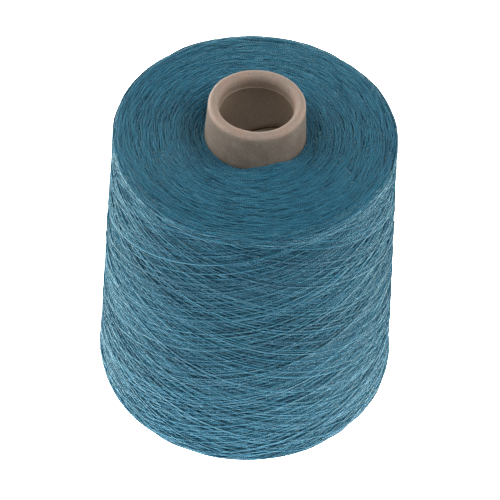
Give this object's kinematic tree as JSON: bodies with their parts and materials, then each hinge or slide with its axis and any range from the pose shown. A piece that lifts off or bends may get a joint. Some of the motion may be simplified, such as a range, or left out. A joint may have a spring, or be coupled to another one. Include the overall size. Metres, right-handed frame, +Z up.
{
  "type": "cone of yarn",
  "caption": "Cross-wound cone of fine yarn on a tapered paper cone with a rolled-in nose, a supply package that stands on its base or on a creel peg.",
  "frame": {"origin": "centre of the circle on which the paper cone's base rim stands", "axes": "+Z up the cone's axis, from the wide base to the rolled nose; the part is round, so +X and +Y are free"},
  "size_m": [0.1392, 0.1392, 0.17],
  "materials": {
    "paper": "matte grey-brown board, burnished and lighter on the rolled nose",
    "yarn": "fine teal two-ply yarn, soft sheen, slightly hairy"
  },
  "bodies": {
    "root": {"paper_cone": "paper", "yarn_package": "yarn"}
  },
  "joints": []
}
